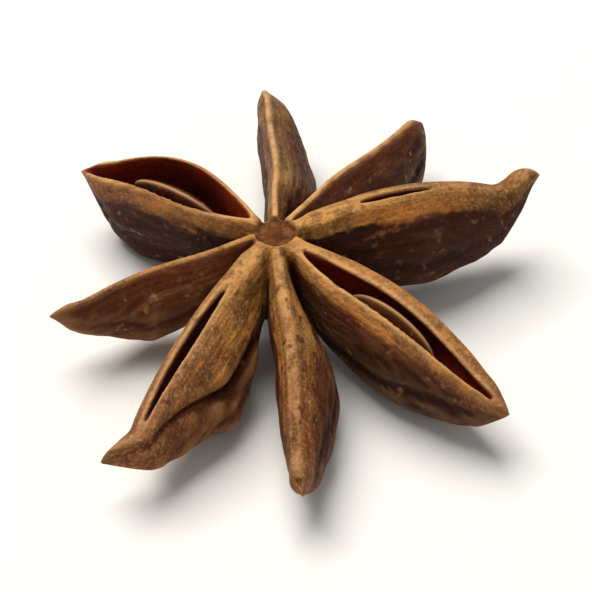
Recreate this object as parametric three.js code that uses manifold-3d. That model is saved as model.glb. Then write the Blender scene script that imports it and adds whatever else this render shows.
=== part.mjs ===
// Star anise pod: the dried fruit of eight boat-shaped carpels set round a short column, seams upwards.
// Two carpels gape wide enough to show their seeds. Millimetres and degrees, +Z up.
// The origin is on the surface that the pod lies on, under the middle of the whole pod.

import * as THREE from "three";
import Module from "manifold-3d";
import { ImprovedNoise } from "three/addons/math/ImprovedNoise.js";
import { mergeVertices } from "three/addons/utils/BufferGeometryUtils.js";

const { clamp, degToRad, lerp, smoothstep } = THREE.MathUtils;

// ---------------------------------------------------------------- driving dimensions

// One entry for each carpel, counter-clockwise round the star.
//   direction  way it points, counter-clockwise from +X seen from above
//   reach      column's axis to the tip of the beak, level
//   fall       how far the beak's tip lies below the top of the column
//   arch       rise of the seam's middle over a straight line to the tip
//   flick      upward turn of the last part of the beak
//   sway       sideways bend of the seam, to the left seen from the column
//   hook       sideways turn of the last part of the beak, to the left
//   roll       turn about the seam, positive where the seam faces left and the keel swings right
//   depth      greatest height from keel to seam
//   width      greatest width
//   belly      share of the length at which it is deepest and widest
//   beak       width of the beak near its tip, and a little less than its height
//   taper      how it thins towards the beak: 1 evenly, more keeps it full for longer
//   shoulder   where it is given, 1 turns the keel up to the beak in a round shoulder
//   blunt      how the beak draws in to its point: 1 along a straight line, more rounds it
//   lip        thickness of each lip at the seam
//   back       shares of the depth at which the wrinkled back begins, at the belly and near the tip
//   crease     how far the section draws in there, as a share of the width
//   wrinkle    height of the wrinkles on the back
//   gape       widest opening between the lips
//   slit       shares of the length between which the seam is open, or is a groove where it is shut
//   spread     how the opening narrows to its ends: under 1 late, over 1 early
//   aside      where it is given, how far the opening's middle lies to the left of the seam
//   seed       in a gaping carpel, the share of the length at its seed's middle, the seed's lean
//              to the left, and how far its top lies below the lips
const CARPELS = [
  {
    direction: 20, reach: 17.7, fall: 1.1, arch: 1.4, flick: 2.8, sway: 0.4, hook: 0, roll: 4,
    depth: 6.8, width: 4.5, belly: 0.46, beak: 0.65, taper: 1.5, blunt: 2.2, lip: 0.9,
    back: [0.655, 0.6], crease: 0.08, wrinkle: 0.08, gape: 0.45, slit: [0.24, 0.58], spread: 0.8,
  },
  {
    direction: 56, reach: 16.6, fall: 2.8, arch: 0.25, flick: 0, sway: 0.1, hook: 0, roll: 8,
    depth: 6.5, width: 3.4, belly: 0.52, beak: 1.5, taper: 1.8, blunt: 2.2, lip: 0.28,
    back: [0.655, 0.55], crease: 0.14, wrinkle: 0.08, gape: 0,
  },
  {
    direction: 91, reach: 16.0, fall: 2.2, arch: 0.6, flick: 0, sway: 0.5, hook: 0.4, roll: 16,
    depth: 6.3, width: 3.4, belly: 0.5, beak: 1.5, taper: 1.5, blunt: 2.2, lip: 0.28,
    back: [0.655, 0.6], crease: 0.08, wrinkle: 0.08, gape: 0,
  },
  {
    direction: 145.5, reach: 15.3, fall: 3.0, arch: 1.6, flick: 0.4, sway: -0.3, hook: 0, roll: 14,
    depth: 8.0, width: 5.0, belly: 0.54, beak: 0.6, taper: 1.7, blunt: 1.8, lip: 0.6,
    back: [0.655, 0.5], crease: 0.08, wrinkle: 0.08, gape: 3.1, slit: [0.05, 0.98], spread: 1.1,
    shoulder: 1, seed: { at: 0.47, lean: 3, below: 1.1 },
  },
  {
    direction: 196, reach: 14.4, fall: 2.7, arch: 0.1, flick: 0.6, sway: 0.2, hook: 0, roll: -2,
    depth: 5.3, width: 3.0, belly: 0.52, beak: 0.6, taper: 0.8, blunt: 1.4, lip: 0.28,
    back: [0.655, 0.6], crease: 0.1, wrinkle: 0.08, gape: 0,
  },
  {
    direction: 236.5, reach: 18.3, fall: 3.6, arch: 0.8, flick: 0, sway: 2.0, hook: -2.0, roll: -15,
    depth: 6.4, width: 4.6, belly: 0.5, beak: 0.9, taper: 0.85, blunt: 1.8, lip: 0.95,
    back: [0.55, 0.25], crease: 0.38, wrinkle: 0.26, gape: 0.75, slit: [0.18, 0.93], spread: 1.5,
  },
  {
    direction: 275, reach: 18.5, fall: 3.4, arch: 0.7, flick: 0.1, sway: 0, hook: 0, roll: -14,
    depth: 6.7, width: 3.7, belly: 0.5, beak: 0.5, taper: 1.2, blunt: 1.0, lip: 0.55,
    back: [0.655, 0.5], crease: 0.12, wrinkle: 0.14, gape: 0, slit: [0.35, 0.94], spread: 1,
  },
  {
    direction: 318.7, reach: 18.0, fall: 3.4, arch: 1.2, flick: 0.1, sway: 0.6, hook: 0, roll: 0,
    depth: 6.5, width: 4.8, belly: 0.5, beak: 0.9, taper: 1.4, blunt: 2.0, lip: 1.15,
    back: [0.655, 0.5], crease: 0.12, wrinkle: 0.08, gape: 1.6, slit: [0.07, 0.95], spread: 0.85,
    aside: -0.35, seed: { at: 0.46, lean: 0, below: 0.6 },
  },
];

const STAND = 7.5; // top of the column above the surface that the pod lies on
const ROOT = 1.0; // each carpel starts this far from the column's axis
const ROOT_DEPTH = 0.7; // share of the depth at the root
const ROOT_WIDTH = 0.17; // share of the width at the root
const BEAK_DEPTH = 1.2; // height of the beak near its tip, as a share of its width
const TIP = 0.88; // share of the length at which the beak draws in to its point
const WALL = 0.65; // thickness of a carpel's wall below the lips
const LIP_HEIGHT = 0.35; // the lips stand straight up for this much before the flanks swell
const GROOVE_WIDTH = 0.26; // a shut seam is a groove of this width and depth
const GROOVE_DEPTH = 0.3;
const WRINKLE_SIZE = 1.5; // from one wrinkle to the next
const DENT = 0.12; // depth of the dents in the flanks
const LIP_WAVE = 0.14; // how far the seam wanders sideways, and half of it up and down

const SEED = { length: 6.8, height: 4.1, thick: 1.4, taper: 0.1 };
const SEED_GAP = 0.5; // clearance between the seed and the floor of the hollow

const COLUMN_RADIUS = 2.4;
const COLUMN_TOP = 0.5; // the column's top lies this far below the lips round it
const PIT_RADIUS = 1.25; // the lips end round a pit of this radius
const STUMP_RADIUS = 1.1; // broken end of the stalk, underneath
const STUMP_END = 1.0; // its height above the surface

const BODY_SIDES = 20;
const BODY_STATIONS = 24;
const HOLLOW_SIDES = 12;
const HOLLOW_STATIONS = 16;
const GROOVE_SIDES = 6;
const ROUND_SIDES = 24;

// ---------------------------------------------------------------- solids

const wasm = await Module();
wasm.setup();
const noise = new ImprovedNoise();

// A closed three.js geometry as a solid that can be joined and cut.
function toSolid(geometry) {
  const bare = geometry.clone();
  bare.deleteAttribute("normal");
  bare.deleteAttribute("uv");
  const merged = mergeVertices(bare, 1e-4);
  return new wasm.Manifold(
    new wasm.Mesh({
      numProp: 3,
      vertProperties: merged.attributes.position.array,
      triVerts: new Uint32Array(merged.index.array),
    }),
  );
}

// A solid as a three.js geometry with flat faces.
function toGeometry(solid) {
  const { numProp, vertProperties, triVerts } = solid.getMesh();
  const positions = new Float32Array((vertProperties.length / numProp) * 3);
  for (let i = 0; i < positions.length / 3; i++) {
    positions.set(vertProperties.subarray(i * numProp, i * numProp + 3), i * 3);
  }
  const geometry = new THREE.BufferGeometry();
  geometry.setAttribute("position", new THREE.BufferAttribute(positions, 3));
  geometry.setIndex(new THREE.BufferAttribute(triVerts, 1));
  const faceted = geometry.toNonIndexed();
  faceted.computeVertexNormals();
  return faceted;
}

// A sphere's surface laid along a carpel. place(share, round) gives the point at a share of the length,
// closer together at the ends, and an angle round it from the seam, going left.
function skin(sides, stations, place) {
  const geometry = new THREE.SphereGeometry(1, sides, stations);
  const { position, uv } = geometry.attributes;
  for (let i = 0; i < position.count; i++) {
    const even = 1 - uv.getY(i);
    const share = lerp(even, (1 - Math.cos(Math.PI * even)) / 2, 0.5);
    const pole = even < 1e-6 || even > 1 - 1e-6;
    const round = pole ? 0 : (uv.getX(i) % 1) * 2 * Math.PI;
    const point = place(share, round, pole);
    position.setXYZ(i, point.x, point.y, point.z);
  }
  return geometry;
}

// ---------------------------------------------------------------- a carpel's form

// Height of the seam, from the top of the column.
function seamHeight(carpel, along) {
  const bow = carpel.arch * Math.sin(Math.PI * along);
  const turnUp = carpel.flick * (smoothstep(along, 0.8, 0.97) - along ** 3);
  const wave = (LIP_WAVE / 2) * Math.sin(9 * along + 2 * carpel.direction);
  return bow + turnUp - carpel.fall * along + wave;
}

// 0 up to the belly, 1 at the tip.
function towardsTip(carpel, along) {
  const share = clamp((along - carpel.belly) / (1 - carpel.belly), 0, 1);
  return lerp(share, smoothstep(share, 0, 1), carpel.shoulder ?? 0);
}

// Height from keel to seam.
function depthAt(carpel, along) {
  const swell = lerp(ROOT_DEPTH, 1, smoothstep(along, -0.1, carpel.belly));
  const thinning = towardsTip(carpel, along) ** (carpel.taper + 0.3);
  return lerp(carpel.depth, BEAK_DEPTH * carpel.beak, thinning) * swell;
}

// Greatest half width of the section.
function halfWidthAt(carpel, along) {
  const swell = lerp(ROOT_WIDTH, 1, Math.sin((Math.PI / 2) * Math.min(1, along / carpel.belly)));
  return (lerp(carpel.width, carpel.beak, towardsTip(carpel, along) ** carpel.taper) / 2) * swell;
}

// Half of the opening between the lips.
function halfGapeAt(carpel, along) {
  if (!carpel.gape) {
    return 0;
  }
  const [start, end] = carpel.slit;
  const share = clamp((along - start) / (end - start), 0, 1) ** 0.8;
  return (carpel.gape / 2) * Math.max(0, Math.sin(Math.PI * share)) ** carpel.spread;
}

// Share of the depth at which the flank ends and the wrinkled back begins.
function backAt(carpel, along) {
  return lerp(...carpel.back, smoothstep(along, 0.4, 0.85));
}

// Half width of the section at a share of its depth: lips on top, a flank that swells,
// a crease, and then the back, as wide again.
function sideAt(carpel, along, down) {
  const widest = halfWidthAt(carpel, along);
  const back = backAt(carpel, along);
  const lips = Math.min(halfGapeAt(carpel, along) + carpel.lip, Math.max(widest, carpel.lip * 0.7));
  const rim = Math.min(LIP_HEIGHT / depthAt(carpel, along), back / 2);
  const flank = lerp(lips, widest, Math.sin((Math.PI / 2) * clamp((down - rim) / (back - rim), 0, 1)));
  const ends = smoothstep(along, 0.2, 0.4) * (1 - smoothstep(along, 0.85, 0.97));
  return flank * (1 - carpel.crease * ends * Math.exp(-(((down - back) / 0.08) ** 2)));
}

// How far the seam lies to the left of a straight line outwards.
function bendAt(carpel, along) {
  const wave = LIP_WAVE * Math.sin(7 * along + carpel.direction) * smoothstep(along, 0.1, 0.4);
  return carpel.sway * along ** 3 + carpel.hook * smoothstep(along, 0.84, 1) + wave;
}

// Turns a carpel's own place, side to the left and drop below the seam, into a point of the pod.
function toPod(carpel, along, side, drop) {
  const turn = degToRad(carpel.direction);
  const roll = degToRad(carpel.roll) * smoothstep(along, 0, 0.4);
  const out = lerp(ROOT, carpel.reach, along);
  const left = side * Math.cos(roll) - drop * Math.sin(roll) + bendAt(carpel, along);
  return new THREE.Vector3(
    out * Math.cos(turn) - left * Math.sin(turn),
    out * Math.sin(turn) + left * Math.cos(turn),
    seamHeight(carpel, along) - drop * Math.cos(roll) - side * Math.sin(roll),
  );
}

// Height of the relief: winding wrinkles on the back, shallow dents on the flanks.
function reliefAt(carpel, along, down, point) {
  const start = backAt(carpel, along);
  const back = smoothstep(down, start, start + 0.12);
  const flank = smoothstep(down, 0.12, 0.3) * (1 - back);
  const ends = smoothstep(along, 0.12, 0.3) * (1 - smoothstep(along, 0.88, 1));
  const [x, y, z] = point.toArray().map((v) => v / WRINKLE_SIZE);
  const ridge = 1 - 3 * Math.abs(noise.noise(x, y, z + carpel.direction));
  const dent = 2 * noise.noise(x * 0.6, y * 0.6, z * 0.6 + carpel.direction);
  return ends * (back * carpel.wrinkle * ridge + flank * DENT * dent);
}

function carpelBody(carpel) {
  return skin(BODY_SIDES, BODY_STATIONS, (along, round, pole) => {
    const depth = depthAt(carpel, along);
    if (pole) {
      return toPod(carpel, along, 0, depth / 2);
    }
    const down = (1 - Math.cos(round)) / 2;
    const cap = 1 - (Math.max(0, along - TIP) / (1 - TIP)) ** carpel.blunt;
    const across = Math.sign(Math.sin(round)) * Math.abs(Math.sin(round)) ** lerp(0.3, 0.6, down);
    const side = across * sideAt(carpel, along, down);
    const relief = reliefAt(carpel, along, down, toPod(carpel, along, side, down * depth));
    const drop = lerp(depth / 2, down * depth, cap) - relief * Math.cos(round);
    return toPod(carpel, along, side * cap + relief * Math.sin(round), drop);
  });
}

// The room inside a gaping carpel, open through the seam.
function hollow(carpel) {
  const [start, end] = carpel.slit;
  return skin(HOLLOW_SIDES, HOLLOW_STATIONS, (share, round, pole) => {
    const along = lerp(start, end, share);
    const ends = Math.sin(Math.PI * share) ** 0.35;
    const depth = depthAt(carpel, along);
    const seat = SEED.height + carpel.seed.below + SEED_GAP;
    const room = Math.min(depth - WALL, seat) * lerp(0.5, 1, ends);
    const drop = lerp(-1, Math.max(room, 0.4), pole ? 0.1 : (1 - Math.cos(round)) / 2);
    const mouth = halfGapeAt(carpel, along);
    const inner = Math.max(sideAt(carpel, along, drop / depth) - WALL, mouth) * ends;
    const inwards = smoothstep(drop, 0.2, 1.4);
    const across = pole ? 0 : Math.sin(round);
    const side = Math.sign(across) * Math.abs(across) ** 0.5 * lerp(mouth, inner, inwards);
    return toPod(carpel, along, side + (carpel.aside ?? 0) * ends * (1 - inwards), drop);
  });
}

// The groove along a shut seam, or the slit of one that has just opened.
function groove(carpel) {
  const [start, end] = carpel.slit;
  return skin(GROOVE_SIDES, HOLLOW_STATIONS, (share, round, pole) => {
    const along = lerp(start, end, share);
    const half = Math.max(halfGapeAt(carpel, along), (GROOVE_WIDTH / 2) * Math.sin(Math.PI * share) ** 0.5);
    const floor = GROOVE_DEPTH + 4 * halfGapeAt(carpel, along);
    const drop = lerp(-0.6, floor, pole ? 0.3 : (1 - Math.cos(round)) / 2);
    return toPod(carpel, along, pole ? 0 : Math.sin(round) * half, drop);
  });
}

// ---------------------------------------------------------------- column, seeds and assembly

// A closed shape of revolution about +Z from its radius and height pairs, lowest first.
function turned(profile) {
  const points = profile.map(([radius, height]) => new THREE.Vector2(radius, height));
  return new THREE.LatheGeometry(points, ROUND_SIDES).rotateX(Math.PI / 2);
}

// The column that the carpels grow from, with the stalk's stump under it.
function column() {
  const end = STUMP_END - STAND;
  return turned([
    [0, end + 0.3],
    [STUMP_RADIUS * 0.55, end + 0.25],
    [STUMP_RADIUS * 0.95, end],
    [STUMP_RADIUS * 1.15, end + 0.3],
    [STUMP_RADIUS, end + 0.9],
    [COLUMN_RADIUS * 0.75, end + 1.5],
    [COLUMN_RADIUS, end + 2.5],
    [COLUMN_RADIUS * 0.9, -2.4],
    [COLUMN_RADIUS * 0.7, -COLUMN_TOP - 0.3],
    [PIT_RADIUS * 0.8, -COLUMN_TOP],
    [0, -COLUMN_TOP],
  ]);
}

// The pit that the lips end round.
function pit() {
  return turned([
    [0, -COLUMN_TOP],
    [PIT_RADIUS * 0.6, -COLUMN_TOP - 0.05],
    [PIT_RADIUS * 0.95, -COLUMN_TOP + 0.15],
    [PIT_RADIUS * 1.1, 0.1],
    [PIT_RADIUS * 1.1, 2],
    [0, 2],
  ]);
}

function husk() {
  let solid = toSolid(column());
  for (const carpel of CARPELS) {
    solid = solid.add(toSolid(carpelBody(carpel)));
  }
  for (const carpel of CARPELS.filter(({ slit }) => slit)) {
    const cut = carpel.seed ? hollow(carpel) : groove(carpel);
    solid = solid.subtract(toSolid(cut));
  }
  solid = solid.subtract(toSolid(pit()));
  const below = new THREE.BoxGeometry(60, 60, 10).translate(0, 0, -STAND - 5);
  return solid.subtract(toSolid(below));
}

// A lens-shaped seed that stands in its carpel.
function seed(carpel) {
  const { at, lean, below } = carpel.seed;
  const geometry = new THREE.SphereGeometry(0.5, 20, 14);
  const position = geometry.attributes.position;
  for (let i = 0; i < position.count; i++) {
    const narrowing = 1 - 2 * SEED.taper * position.getX(i);
    position.setY(i, position.getY(i) * narrowing);
    position.setZ(i, position.getZ(i) * narrowing);
  }
  geometry.scale(SEED.length, SEED.thick, SEED.height);
  geometry.translate(0, 0, SEED.height / 2);
  geometry.rotateX(-degToRad(lean));
  geometry.translate(0, 0, -below - SEED.height);
  geometry.rotateX(-degToRad(carpel.roll));
  geometry.translate(lerp(ROOT, carpel.reach, at), bendAt(carpel, at), seamHeight(carpel, at));
  return geometry.rotateZ(degToRad(carpel.direction));
}

const huskColour = new THREE.MeshStandardMaterial({ color: 0x6b4226, roughness: 0.8, metalness: 0 });
const seedColour = new THREE.MeshStandardMaterial({ color: 0x7a3f1c, roughness: 0.35, metalness: 0 });

const pod = new THREE.Group();

function addNode(name, geometry, material) {
  const mesh = new THREE.Mesh(geometry, material);
  mesh.name = name;
  pod.add(mesh);
}

addNode("husk", toGeometry(husk()), huskColour);
CARPELS.filter((carpel) => carpel.seed).forEach((carpel, i) => {
  addNode(`seed_${i + 1}`, seed(carpel), seedColour);
});

const box = new THREE.Box3().setFromObject(pod);
const middle = box.getCenter(new THREE.Vector3());
for (const mesh of pod.children) {
  mesh.position.set(-middle.x, -middle.y, STAND);
}

export default pod;
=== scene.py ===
# %% [markdown]
# # A dried star anise, from sections to finish
# The pod is eight boat-shaped carpels grown together round a short column, with their seams up. Two of them
# gape and show a seed. Each carpel is shaped from cross-sections, all are grown into one body, the slits
# are cut, the wrinkles raised, and the pod is coloured and lit. The measured frame comes first, because
# every piece has to sit where it says.

# %% Load the frame
import math

import bpy
import numpy as np
from mathutils import Matrix, Vector, noise


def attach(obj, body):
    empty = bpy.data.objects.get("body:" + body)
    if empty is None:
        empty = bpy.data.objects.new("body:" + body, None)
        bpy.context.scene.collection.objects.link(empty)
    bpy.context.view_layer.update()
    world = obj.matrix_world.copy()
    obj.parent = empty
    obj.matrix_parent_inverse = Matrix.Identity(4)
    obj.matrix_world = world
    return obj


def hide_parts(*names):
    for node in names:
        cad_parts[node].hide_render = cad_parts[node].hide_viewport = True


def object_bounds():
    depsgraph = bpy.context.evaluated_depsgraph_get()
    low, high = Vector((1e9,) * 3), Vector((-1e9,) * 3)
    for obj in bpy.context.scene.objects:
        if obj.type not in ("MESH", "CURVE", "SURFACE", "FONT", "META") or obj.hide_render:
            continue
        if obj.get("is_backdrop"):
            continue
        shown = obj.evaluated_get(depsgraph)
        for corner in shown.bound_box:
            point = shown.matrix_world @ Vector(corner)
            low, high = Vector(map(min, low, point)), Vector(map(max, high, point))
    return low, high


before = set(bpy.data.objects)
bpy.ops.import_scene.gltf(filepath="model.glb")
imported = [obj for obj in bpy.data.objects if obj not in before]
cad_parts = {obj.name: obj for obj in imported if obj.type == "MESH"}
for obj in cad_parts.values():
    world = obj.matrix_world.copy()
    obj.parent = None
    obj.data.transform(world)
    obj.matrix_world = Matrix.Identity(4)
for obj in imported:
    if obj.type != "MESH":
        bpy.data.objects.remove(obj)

MM = 0.001  # the frame is in metres


def millimetres(corner):
    return [round(value / MM, 2) for value in corner]


cad_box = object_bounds()
print("box of the frame, mm:", [millimetres(corner) for corner in cad_box])

# %% [markdown]
# ## The workbench
# Blender's remesh has no cells under 0.1 mm, so the pod is modelled at a thousand times its size, one unit
# for a millimetre, with the column's top at the origin. Each finished piece is shrunk and carried to its
# place.

# %% Picking pieces, and their points
def mode(name):
    bpy.ops.object.mode_set(mode=name)


def deselect_all():
    if bpy.context.object and bpy.context.object.mode != "OBJECT":
        mode("OBJECT")
    bpy.ops.object.select_all(action="DESELECT")


def pick(piece):
    deselect_all()
    piece.select_set(True)
    bpy.context.view_layer.objects.active = piece


def edit_all(piece):
    pick(piece)
    mode("EDIT")
    bpy.ops.mesh.select_all(action="SELECT")


def face_outwards(piece):
    edit_all(piece)
    bpy.ops.mesh.normals_make_consistent(inside=False)
    mode("OBJECT")


def points_of(piece):
    points = np.empty(len(piece.data.vertices) * 3)
    piece.data.vertices.foreach_get("co", points)
    return points.reshape(-1, 3)


def set_points(piece, points):
    piece.data.vertices.foreach_set("co", np.asarray(points, np.float32).ravel())
    piece.data.update()


print("helpers for pieces ready")

# %% Modifiers, joining and carrying
COLUMN_AXIS = (-1.356, 1.222)  # of the column, from the middle of the frame's box
STAND = 7.5  # top of the column above the surface that the pod lies on


def add_modifier(piece, kind, **settings):
    pick(piece)
    modifier = piece.modifiers.new(kind.title(), kind)
    for name, value in settings.items():
        setattr(modifier, name, value)
    bpy.ops.object.modifier_apply(modifier=modifier.name)


def soften(piece, rounds, where=""):
    add_modifier(piece, "SMOOTH", factor=0.5, iterations=rounds, vertex_group=where)


def join(pieces, name):
    pick(pieces[0])
    for piece in pieces:
        piece.select_set(True)
    bpy.ops.object.join()
    pieces[0].name = name
    pieces[0].data.name = name
    return pieces[0]


def to_frame(piece):
    """Shrinks a finished piece and carries it from the workbench to its place."""
    pick(piece)
    place = Vector((*COLUMN_AXIS, STAND)) * MM
    piece.matrix_world = Matrix.Translation(place) @ Matrix.Scale(MM, 4)
    bpy.ops.object.transform_apply()


print("workbench ready")

# %% [markdown]
# ## What makes each carpel its own
# Each carpel is a row of sizes, in millimetres, degrees and shares of the length.
#
# - direction, reach, fall: the way it points, how far out its tip is, and how far below the column's top
# - arch, flick: how the seam and the beak bend up; sway, hook: how they bend aside; roll: its turn
# - depth, width, belly: its greatest size, and where along it that is
# - beak, taper, shoulder, blunt: width near the tip, how it thins there and draws in to a point
# - lip, gape, slit, spread, aside: the lips' thickness, the opening's width, ends, form and shift
# - back, crease, wrinkle: where down the section the back begins, how it draws in there, its wrinkles
# - seed: its place along the carpel, its lean, and how far it lies below the lips

# %% The eight carpels
CARPELS = [
    dict(direction=20, reach=17.7, fall=1.1, arch=1.4, flick=2.8, sway=0.4, hook=0, roll=4,
         depth=6.8, width=4.5, belly=0.46, beak=0.65, taper=1.5, blunt=2.2, lip=0.9,
         back=(0.655, 0.6), crease=0.08, wrinkle=0.08, gape=0.45, slit=(0.24, 0.58), spread=0.8),
    dict(direction=56, reach=16.6, fall=2.8, arch=0.25, flick=0, sway=0.1, hook=0, roll=8,
         depth=6.5, width=3.4, belly=0.52, beak=1.5, taper=1.8, blunt=2.2, lip=0.28,
         back=(0.655, 0.55), crease=0.14, wrinkle=0.08, gape=0),
    dict(direction=91, reach=16.0, fall=2.2, arch=0.6, flick=0, sway=0.5, hook=0.4, roll=16,
         depth=6.3, width=3.4, belly=0.5, beak=1.5, taper=1.5, blunt=2.2, lip=0.28,
         back=(0.655, 0.6), crease=0.08, wrinkle=0.08, gape=0),
    dict(direction=145.5, reach=15.3, fall=3.0, arch=1.6, flick=0.4, sway=-0.3, hook=0, roll=14,
         depth=8.0, width=5.0, belly=0.54, beak=0.6, taper=1.7, shoulder=1, blunt=1.8, lip=0.6,
         back=(0.655, 0.5), crease=0.08, wrinkle=0.08, gape=3.1, slit=(0.05, 0.98), spread=1.1,
         seed=dict(at=0.47, lean=3, below=1.1)),
    dict(direction=196, reach=14.4, fall=2.7, arch=0.1, flick=0.6, sway=0.2, hook=0, roll=-2,
         depth=5.3, width=3.0, belly=0.52, beak=0.6, taper=0.8, blunt=1.4, lip=0.28,
         back=(0.655, 0.6), crease=0.1, wrinkle=0.08, gape=0),
    dict(direction=236.5, reach=18.3, fall=3.6, arch=0.8, flick=0, sway=2.0, hook=-2.0, roll=-15,
         depth=6.4, width=4.6, belly=0.5, beak=0.9, taper=0.85, blunt=1.8, lip=0.95,
         back=(0.55, 0.25), crease=0.38, wrinkle=0.26, gape=0.75, slit=(0.18, 0.93), spread=1.5),
    dict(direction=275, reach=18.5, fall=3.4, arch=0.7, flick=0.1, sway=0, hook=0, roll=-14,
         depth=6.7, width=3.7, belly=0.5, beak=0.5, taper=1.2, blunt=1.0, lip=0.55,
         back=(0.655, 0.5), crease=0.12, wrinkle=0.14, gape=0, slit=(0.35, 0.94), spread=1),
    dict(direction=318.7, reach=18.0, fall=3.4, arch=1.2, flick=0.1, sway=0.6, hook=0, roll=0,
         depth=6.5, width=4.8, belly=0.5, beak=0.9, taper=1.4, blunt=2.0, lip=1.15,
         back=(0.655, 0.5), crease=0.12, wrinkle=0.08, gape=1.6, slit=(0.07, 0.95), spread=0.85,
         aside=-0.35, seed=dict(at=0.46, lean=0, below=0.6)),
]
print(len(CARPELS), "carpels,", sum("seed" in carpel for carpel in CARPELS), "with a seed")

# %% [markdown]
# ## The form of a carpel
# A carpel is a boat: a seam on top, two swelling flanks, a crease, and a wrinkled back that rests on the
# keel. A sculpting brush can't repeat eight like forms, so every size is a formula of the share of the
# length, from 0 at the column to 1 at the tip, as a boat builder's stations are.

# %% Easing from one value to another
def lerp(low, high, share):
    return low + (high - low) * share


def rises(value, low, high):
    """0 up to low, 1 from high on, eased between them."""
    share = np.clip((value - low) / (high - low), 0, 1)
    return share * share * (3 - 2 * share)


def fades(value, low, high):
    """1 up to low, 0 from high on."""
    return 1 - rises(value, low, high)


def bell(value, middle, spread):
    """1 at the middle, falling off evenly to both sides."""
    return np.exp(-(((value - middle) / spread) ** 2))


print("half way up a rise:", rises(0.5, 0, 1))

# %% The seam's height and bend
LIP_WAVE = 0.14  # how far the seam wanders sideways, and half of it up and down
WAVES_ASIDE, WAVES_UP = 7, 9  # how fast it wanders, in radians a length
WANDERS = (0.1, 0.4)  # shares of the length over which the wandering comes in,
ROLLS = (0, 0.4)  # the roll comes in,
FLICKS = (0.8, 0.97)  # the beak turns up,
HOOKS = (0.84, 1)  # and it turns aside


def seam_height(carpel, along):
    bow = carpel["arch"] * np.sin(np.pi * along)
    turn_up = carpel["flick"] * (rises(along, *FLICKS) - along**3)
    wave = LIP_WAVE / 2 * np.sin(WAVES_UP * along + 2 * carpel["direction"])
    return bow + turn_up - carpel["fall"] * along + wave


def bend_at(carpel, along):
    """The seam's roll in radians, and its sideways bend."""
    roll = math.radians(carpel["roll"]) * rises(along, *ROLLS)
    wave = LIP_WAVE * np.sin(WAVES_ASIDE * along + carpel["direction"]) * rises(along, *WANDERS)
    return roll, carpel["sway"] * along**3 + carpel["hook"] * rises(along, *HOOKS) + wave


tips = np.array([seam_height(carpel, 1.0) for carpel in CARPELS])
print("tips lie", np.round(-tips, 2).tolist(), "mm below the column's top")

# %% Depth and width of the section
ROOT_DEPTH, ROOT_WIDTH = 0.7, 0.17  # shares of the depth and width at the root
ROOT_START = -0.1  # share of the length from which the root deepens
BEAK_DEPTH = 1.2  # height of the beak, as a share of its width
FULLER_KEEL = 0.3  # how much later than the width the depth thins


def towards_tip(carpel, along):
    """0 up to the belly, 1 at the tip. A shoulder makes the keel turn up in a round curve."""
    share = np.clip((along - carpel["belly"]) / (1 - carpel["belly"]), 0, 1)
    return lerp(share, rises(share, 0, 1), carpel.get("shoulder", 0))


def depth_at(carpel, along):
    swell = lerp(ROOT_DEPTH, 1, rises(along, ROOT_START, carpel["belly"]))
    thinning = towards_tip(carpel, along) ** (carpel["taper"] + FULLER_KEEL)
    return lerp(carpel["depth"], BEAK_DEPTH * carpel["beak"], thinning) * swell


def half_width_at(carpel, along):
    swell = lerp(ROOT_WIDTH, 1, np.sin(np.pi / 2 * np.clip(along / carpel["belly"], 0, 1)))
    return lerp(carpel["width"], carpel["beak"], towards_tip(carpel, along) ** carpel["taper"]) / 2 * swell


for carpel in CARPELS:
    print(carpel["direction"], "degrees: deepest", round(float(depth_at(carpel, carpel["belly"])), 2))

# %% Lips, flank, crease and back
LIP_HEIGHT = 0.35  # the lips stand straight for this much
THINNEST_LIP = 0.7  # share of the lip that is left in a narrow root or beak
GAPE_LEAN = 0.8  # under 1, the gape is widest nearer to the column
BACK_SHIFTS = (0.4, 0.85)  # shares of the length over which the back's start moves
CREASE_HEIGHT = 0.08  # share of the depth
CREASE_STARTS, CREASE_ENDS = (0.2, 0.4), (0.85, 0.97)  # shares of the length


def slit_share(carpel, along):
    start, end = carpel["slit"]
    return np.clip((along - start) / (end - start), 0, 1)


def half_gape_at(carpel, along):
    if not carpel["gape"]:
        return 0 * along
    opened = np.clip(np.sin(np.pi * slit_share(carpel, along) ** GAPE_LEAN), 0, 1)
    return carpel["gape"] / 2 * opened ** carpel["spread"]


def back_at(carpel, along):
    """Share of the depth at which the back begins."""
    return lerp(*carpel["back"], rises(along, *BACK_SHIFTS))


def side_at(carpel, along, down):
    """Half width of the section at a share of its depth."""
    widest, back = half_width_at(carpel, along), back_at(carpel, along)
    least = np.maximum(widest, carpel["lip"] * THINNEST_LIP)
    lips = np.minimum(half_gape_at(carpel, along) + carpel["lip"], least)
    rim = np.minimum(LIP_HEIGHT / depth_at(carpel, along), back / 2)
    flank = lerp(lips, widest, np.sin(np.pi / 2 * np.clip((down - rim) / (back - rim), 0, 1)))
    ends = rises(along, *CREASE_STARTS) * fades(along, *CREASE_ENDS)
    return flank * (1 - carpel["crease"] * ends * bell(down, back, CREASE_HEIGHT))


gapes = [carpel["gape"] for carpel in CARPELS if carpel["gape"]]
print(len(gapes), "seams are open, up to", max(gapes), "mm")

# %% [markdown]
# ## From a carpel to the pod, and back
# A point of a carpel is its share of the length, its side to the left of the seam and its drop below the
# seam. One function carries it to the pod. Another brings it back, which the relief and the colours need
# later.

# %% To the pod, and back
ROOT = 1.0  # each carpel starts this far from the column's axis


def to_pod(carpel, along, side, drop):
    turn = math.radians(carpel["direction"])
    roll, aside = bend_at(carpel, along)
    out = lerp(ROOT, carpel["reach"], along)
    left = side * np.cos(roll) - drop * np.sin(roll) + aside
    return np.stack([
        out * math.cos(turn) - left * math.sin(turn),
        out * math.sin(turn) + left * math.cos(turn),
        seam_height(carpel, along) - drop * np.cos(roll) - side * np.sin(roll),
    ], axis=-1)


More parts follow.
